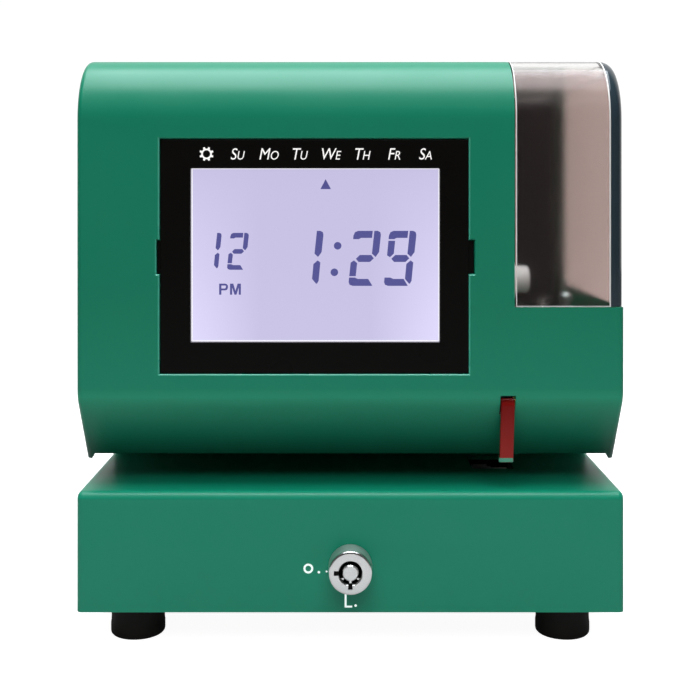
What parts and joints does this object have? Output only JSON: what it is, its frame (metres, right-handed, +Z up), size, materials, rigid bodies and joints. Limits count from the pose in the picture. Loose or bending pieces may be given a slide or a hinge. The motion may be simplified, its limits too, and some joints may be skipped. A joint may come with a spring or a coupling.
{
  "type": "punch time clock",
  "caption": "Desk time recorder: steel C-shaped case with a card throat, lit display, corner window, key lock and a hidden stamping movement.",
  "frame": {"origin": "middle of the footprint, on the surface that the feet stand on", "axes": "+Z up; the front with the display and lock faces -Y; +X is to the right seen from the front, the corner window's side"},
  "size_m": [0.24, 0.21, 0.2605],
  "materials": {
    "green_paint": "satin powder coat with a fine orange-peel",
    "black_plastic": "satin moulded",
    "smoke_plastic": "clear smoke acrylic",
    "display_glass": "polarised display glass, lit from behind",
    "diffuser": "translucent white",
    "circuit_board": "solder mask",
    "red_plastic": "translucent red acrylic",
    "nickel": "bright nickel plate",
    "steel": "zinc plated",
    "dark_steel": "black semi-gloss",
    "rubber": "moulded rubber",
    "white_plastic": "moulded nylon",
    "brass": "machined",
    "inked_ribbon": "woven nylon, inked",
    "winding": "varnished copper winding"
  },
  "bodies": {
    "chassis": {"base_plate": "dark_steel", "foot_front_left": "rubber", "foot_front_right": "rubber", "foot_rear_left": "rubber", "foot_rear_right": "rubber", "lock_keeper": "steel", "rear_panel": "dark_steel", "power_inlet": "black_plastic", "frame_plate_left": "steel", "frame_plate_right": "steel", "frame_tie_lower": "steel", "frame_tie_upper": "steel", "hammer_pin": "steel", "trigger_pin": "steel", "upper_card_guide": "steel", "guide_post": "nickel", "inner_shield": "dark_steel", "motor": "steel", "ribbon_bracket": "steel", "spool_spindle_front": "steel", "spool_spindle_rear": "steel", "ink_ribbon": "inked_ribbon", "hammer_solenoid": "winding", "hammer_spring": "steel", "trigger_switch": "black_plastic", "transformer_core": "dark_steel", "transformer_coil": "winding", "control_board": "circuit_board", "board_post_1": "brass", "board_post_2": "brass", "board_post_3": "brass", "board_post_4": "brass"},
    "case": {"case_upper_wrap": "green_paint", "case_left_side": "green_paint", "case_right_side": "green_paint", "case_lower_wrap": "green_paint", "corner_window": "smoke_plastic", "display_bezel": "black_plastic", "lcd_panel": "display_glass", "backlight_panel": "diffuser", "display_board": "circuit_board", "display_bracket_left": "steel", "display_bracket_right": "steel", "print_pointer": "red_plastic", "lock_barrel": "nickel", "lock_nut": "steel"},
    "lock_core": {"lock_plug": "nickel", "lock_cam": "steel"},
    "minute_drive": {"type_wheel_shaft": "steel", "minute_wheel": "brass", "drive_gear": "brass"},
    "hour": {"hour_wheel": "brass"},
    "day": {"day_wheel": "brass"},
    "pinion": {"motor_pinion": "brass"},
    "front_spool": {"ribbon_spool_front": "white_plastic"},
    "rear_spool": {"ribbon_spool_rear": "white_plastic"},
    "hammer": {"print_hammer": "steel"},
    "plunger": {"solenoid_plunger": "steel"},
    "trigger": {"card_trigger": "black_plastic"}
  },
  "joints": [
    {"name": "case_release", "type": "slide", "parent": "chassis", "child": "case", "axis": [0, -1, 0], "range_m": [0, 0.21]},
    {"name": "lock_turn", "type": "hinge", "parent": "case", "child": "lock_core", "pos_m": [0, -0.1, 0.0368], "axis": [0, -1, 0], "range_deg": [0, 90]},
    {"name": "minute_spin", "type": "hinge", "parent": "chassis", "child": "minute_drive", "pos_m": [0.065, -0.036, 0.1143], "axis": [1, 0, 0], "continuous": true},
    {"name": "hour_spin", "type": "hinge", "parent": "chassis", "child": "hour", "pos_m": [0.0641, -0.036, 0.1143], "axis": [1, 0, 0], "continuous": true},
    {"name": "day_spin", "type": "hinge", "parent": "chassis", "child": "day", "pos_m": [0.0717, -0.036, 0.1143], "axis": [1, 0, 0], "continuous": true},
    {"name": "pinion_spin", "type": "hinge", "parent": "chassis", "child": "pinion", "pos_m": [0.0785, -0.0097, 0.1143], "axis": [1, 0, 0], "continuous": true},
    {"name": "front_spool_turn", "type": "hinge", "parent": "chassis", "child": "front_spool", "pos_m": [0.065, -0.055, 0.1594], "axis": [1, 0, 0], "continuous": true},
    {"name": "rear_spool_turn", "type": "hinge", "parent": "chassis", "child": "rear_spool", "pos_m": [0.065, 0.005, 0.1594], "axis": [1, 0, 0], "continuous": true},
    {"name": "hammer_swing", "type": "hinge", "parent": "chassis", "child": "hammer", "pos_m": [0.068, -0.013, 0.055], "axis": [-1, 0, 0], "range_deg": [0, 36], "stiffness_Nm_per_rad": 0.1, "springref_deg": -28.65, "deforming": ["hammer_spring"]},
    {"name": "plunger_pull", "type": "slide", "parent": "chassis", "child": "plunger", "axis": [0, 0, -1], "range_m": [0, 0.0116]},
    {"name": "trigger_push", "type": "hinge", "parent": "chassis", "child": "trigger", "pos_m": [0.084, -0.008, 0.095], "axis": [1, 0, 0], "range_deg": [0, 18], "stiffness_Nm_per_rad": 0.01, "springref_deg": -28.65}
  ],
  "couplings": [
    {"joint": "hour_spin", "follows": "minute_spin", "ratio": 0.041667},
    {"joint": "day_spin", "follows": "minute_spin", "ratio": 0.0013441},
    {"joint": "pinion_spin", "follows": "minute_spin", "ratio": -3.3333},
    {"joint": "rear_spool_turn", "follows": "front_spool_turn", "ratio": 1},
    {"joint": "plunger_pull", "follows": "hammer_swing", "m_per_rad": 0.0181}
  ]
}
